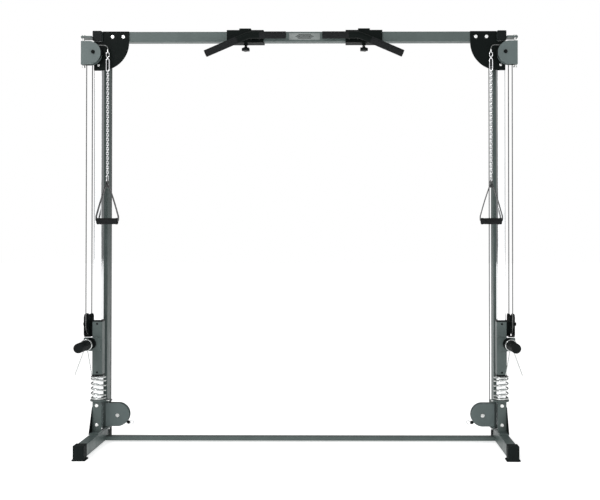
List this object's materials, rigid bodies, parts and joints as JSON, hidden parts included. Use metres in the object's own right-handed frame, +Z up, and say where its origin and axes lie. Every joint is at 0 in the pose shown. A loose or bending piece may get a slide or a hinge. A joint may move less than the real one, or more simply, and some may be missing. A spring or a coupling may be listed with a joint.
{
  "type": "cable crossover",
  "caption": "Free-standing plate-loaded cable crossover with two guide-rod towers, high and low swivel pulleys, hanging stirrup handles and sliding pull-up handles on its top beam.",
  "frame": {"origin": "on the floor, under the middle of the whole machine", "axes": "+X to the right along the top beam, +Y towards the back, +Z up"},
  "size_m": [2.2106, 0.46, 2.1045],
  "materials": {
    "frame_grey": "satin grey powder coat",
    "housing_grey": "satin light grey powder coat",
    "black_paint": "semi-gloss black powder coat",
    "black_plastic": "moulded black",
    "black_rubber": "moulded rubber",
    "chrome": "bright plated",
    "bolt_steel": "zinc plated",
    "cable": "clear-coated steel cable",
    "webbing": "woven black webbing",
    "grip_foam": "dense black foam"
  },
  "bodies": {
    "frame": {"arm_caps": "black_plastic", "base_boots": "black_rubber", "base_tubes": "frame_grey", "bracket_gussets": "black_paint", "corner_gussets": "black_paint", "crossbeam": "frame_grey", "fixed_cables": "cable", "floor_crossbar": "frame_grey", "frame_bolts": "bolt_steel", "guide_tubes": "chrome", "lower_brackets": "frame_grey", "pivot_brackets": "frame_grey", "pivot_pins": "bolt_steel", "top_arms": "frame_grey", "top_pulley_forks": "black_paint", "uprights": "frame_grey", "cable_runs_right": "cable", "cable_runs_left": "cable"},
    "carriage_right": {"carriage_sleeve_right": "frame_grey", "carriage_bumpers_right": "black_plastic", "weight_post_right": "black_paint", "pulley_bracket_right": "black_paint", "carriage_cable_right": "cable"},
    "carriage_wheel_right": {"carriage_pulley_right": "black_plastic"},
    "collar_right": {"spring_collar_right": "chrome"},
    "buffer_right": {"buffer_spring_right": "chrome"},
    "high_swivel_right": {"high_housing_right": "housing_grey", "high_cable_right": "cable"},
    "high_wheel_right": {"high_pulley_right": "black_plastic"},
    "handle_line_right": {"handle_hooks_right": "chrome"},
    "stirrup_right": {"handle_strap_right": "webbing"},
    "grip_right": {"handle_grip_right": "grip_foam"},
    "top_wheel_right": {"top_pulley_right": "black_plastic"},
    "low_swivel_right": {"low_housing_right": "housing_grey", "low_cable_right": "cable"},
    "low_wheel_right": {"low_pulley_right": "black_plastic"},
    "low_line_right": {"low_cable_end_right": "chrome"},
    "pull_up_right": {"pull_up_handle_right": "black_paint"},
    "knob_right": {"clamp_knob_right": "black_plastic"},
    "carriage_left": {"carriage_sleeve_left": "frame_grey", "carriage_bumpers_left": "black_plastic", "weight_post_left": "black_paint", "pulley_bracket_left": "black_paint", "carriage_cable_left": "cable"},
    "carriage_wheel_left": {"carriage_pulley_left": "black_plastic"},
    "collar_left": {"spring_collar_left": "chrome"},
    "buffer_left": {"buffer_spring_left": "chrome"},
    "high_swivel_left": {"high_housing_left": "housing_grey", "high_cable_left": "cable"},
    "high_wheel_left": {"high_pulley_left": "black_plastic"},
    "handle_line_left": {"handle_hooks_left": "chrome"},
    "stirrup_left": {"handle_strap_left": "webbing"},
    "grip_left": {"handle_grip_left": "grip_foam"},
    "top_wheel_left": {"top_pulley_left": "black_plastic"},
    "low_swivel_left": {"low_housing_left": "housing_grey", "low_cable_left": "cable"},
    "low_wheel_left": {"low_pulley_left": "black_plastic"},
    "low_line_left": {"low_cable_end_left": "chrome"},
    "pull_up_left": {"pull_up_handle_left": "black_paint"},
    "knob_left": {"clamp_knob_left": "black_plastic"}
  },
  "joints": [
    {"name": "carriage_lift_right", "type": "slide", "parent": "frame", "child": "carriage_right", "axis": [0, 0, 1], "range_m": [0, 0.5], "deforming": ["cable_runs_right"]},
    {"name": "carriage_pulley_spin_right", "type": "hinge", "parent": "carriage_right", "child": "carriage_wheel_right", "pos_m": [1.069, 0.081, 0.61], "axis": [1, 0, 0], "continuous": true},
    {"name": "collar_slide_right", "type": "slide", "parent": "carriage_right", "child": "collar_right", "axis": [0, 1, 0], "range_m": [-0.06, 0.04]},
    {"name": "buffer_squeeze_right", "type": "slide", "parent": "frame", "child": "buffer_right", "axis": [0, 0, 1], "range_m": [-0.04, 0], "stiffness_N_per_m": 8000, "deforming": ["buffer_spring_right"]},
    {"name": "high_swivel_turn_right", "type": "hinge", "parent": "frame", "child": "high_swivel_right", "pos_m": [1.084, 0.034, 1.975], "axis": [0, 0, 1], "range_deg": [0, 35]},
    {"name": "high_pulley_spin_right", "type": "hinge", "parent": "high_swivel_right", "child": "high_wheel_right", "pos_m": [1.033, 0.034, 1.979], "axis": [0, 1, 0], "continuous": true},
    {"name": "handle_pull_right", "type": "slide", "parent": "high_swivel_right", "child": "handle_line_right", "axis": [0, 0, -1], "range_m": [0, 1]},
    {"name": "stirrup_swing_right", "type": "hinge", "parent": "handle_line_right", "child": "stirrup_right", "pos_m": [0.963, 0.034, 1.329], "axis": [0, 1, 0], "range_deg": [-10, 60]},
    {"name": "grip_spin_right", "type": "hinge", "parent": "stirrup_right", "child": "grip_right", "pos_m": [0.963, 0.034, 1.13], "axis": [1, 0, 0], "continuous": true},
    {"name": "top_pulley_spin_right", "type": "hinge", "parent": "frame", "child": "top_wheel_right", "pos_m": [1.019, 0.128, 1.979], "axis": [0, 1, 0], "continuous": true},
    {"name": "low_swivel_turn_right", "type": "hinge", "parent": "frame", "child": "low_swivel_right", "pos_m": [0.983, 0.128, 0.1445], "axis": [0, 0, 1], "range_deg": [-25, 25]},
    {"name": "low_pulley_spin_right", "type": "hinge", "parent": "low_swivel_right", "child": "low_wheel_right", "pos_m": [0.931, 0.128, 0.141], "axis": [0, 1, 0], "continuous": true},
    {"name": "low_pull_right", "type": "slide", "parent": "low_swivel_right", "child": "low_line_right", "axis": [-1, 0, 0], "range_m": [0, 0.8]},
    {"name": "pull_up_slide_right", "type": "slide", "parent": "frame", "child": "pull_up_right", "axis": [1, 0, 0], "range_m": [-0.08, 0.3]},
    {"name": "knob_turn_right", "type": "hinge", "parent": "pull_up_right", "child": "knob_right", "pos_m": [0.326, 0.085, 2.005], "axis": [0, 0, 1], "continuous": true},
    {"name": "carriage_lift_left", "type": "slide", "parent": "frame", "child": "carriage_left", "axis": [0, 0, 1], "range_m": [0, 0.5], "deforming": ["cable_runs_left"]},
    {"name": "carriage_pulley_spin_left", "type": "hinge", "parent": "carriage_left", "child": "carriage_wheel_left", "pos_m": [-1.069, 0.081, 0.61], "axis": [1, 0, 0], "continuous": true},
    {"name": "collar_slide_left", "type": "slide", "parent": "carriage_left", "child": "collar_left", "axis": [0, 1, 0], "range_m": [-0.06, 0.04]},
    {"name": "buffer_squeeze_left", "type": "slide", "parent": "frame", "child": "buffer_left", "axis": [0, 0, 1], "range_m": [-0.04, 0], "stiffness_N_per_m": 8000, "deforming": ["buffer_spring_left"]},
    {"name": "high_swivel_turn_left", "type": "hinge", "parent": "frame", "child": "high_swivel_left", "pos_m": [-1.084, 0.034, 1.975], "axis": [0, 0, -1], "range_deg": [0, 35]},
    {"name": "high_pulley_spin_left", "type": "hinge", "parent": "high_swivel_left", "child": "high_wheel_left", "pos_m": [-1.033, 0.034, 1.979], "axis": [0, -1, 0], "continuous": true},
    {"name": "handle_pull_left", "type": "slide", "parent": "high_swivel_left", "child": "handle_line_left", "axis": [0, 0, -1], "range_m": [0, 1]},
    {"name": "stirrup_swing_left", "type": "hinge", "parent": "handle_line_left", "child": "stirrup_left", "pos_m": [-0.963, 0.034, 1.329], "axis": [0, -1, 0], "range_deg": [-10, 60]},
    {"name": "grip_spin_left", "type": "hinge", "parent": "stirrup_left", "child": "grip_left", "pos_m": [-0.963, 0.034, 1.13], "axis": [1, 0, 0], "continuous": true},
    {"name": "top_pulley_spin_left", "type": "hinge", "parent": "frame", "child": "top_wheel_left", "pos_m": [-1.019, 0.128, 1.979], "axis": [0, -1, 0], "continuous": true},
    {"name": "low_swivel_turn_left", "type": "hinge", "parent": "frame", "child": "low_swivel_left", "pos_m": [-0.983, 0.128, 0.1445], "axis": [0, 0, -1], "range_deg": [-25, 25]},
    {"name": "low_pulley_spin_left", "type": "hinge", "parent": "low_swivel_left", "child": "low_wheel_left", "pos_m": [-0.931, 0.128, 0.141], "axis": [0, -1, 0], "continuous": true},
    {"name": "low_pull_left", "type": "slide", "parent": "low_swivel_left", "child": "low_line_left", "axis": [1, 0, 0], "range_m": [0, 0.8]},
    {"name": "pull_up_slide_left", "type": "slide", "parent": "frame", "child": "pull_up_left", "axis": [-1, 0, 0], "range_m": [-0.08, 0.3]},
    {"name": "knob_turn_left", "type": "hinge", "parent": "pull_up_left", "child": "knob_left", "pos_m": [-0.274, 0.085, 2.005], "axis": [0, 0, 1], "continuous": true}
  ],
  "couplings": [
    {"joint": "handle_pull_right", "follows": "carriage_lift_right", "ratio": 2},
    {"joint": "high_pulley_spin_right", "follows": "carriage_lift_right", "rad_per_m": -55.556},
    {"joint": "carriage_pulley_spin_right", "follows": "carriage_lift_right", "rad_per_m": -21.277},
    {"joint": "handle_pull_left", "follows": "carriage_lift_left", "ratio": 2},
    {"joint": "high_pulley_spin_left", "follows": "carriage_lift_left", "rad_per_m": -55.556},
    {"joint": "carriage_pulley_spin_left", "follows": "carriage_lift_left", "rad_per_m": -21.277}
  ]
}
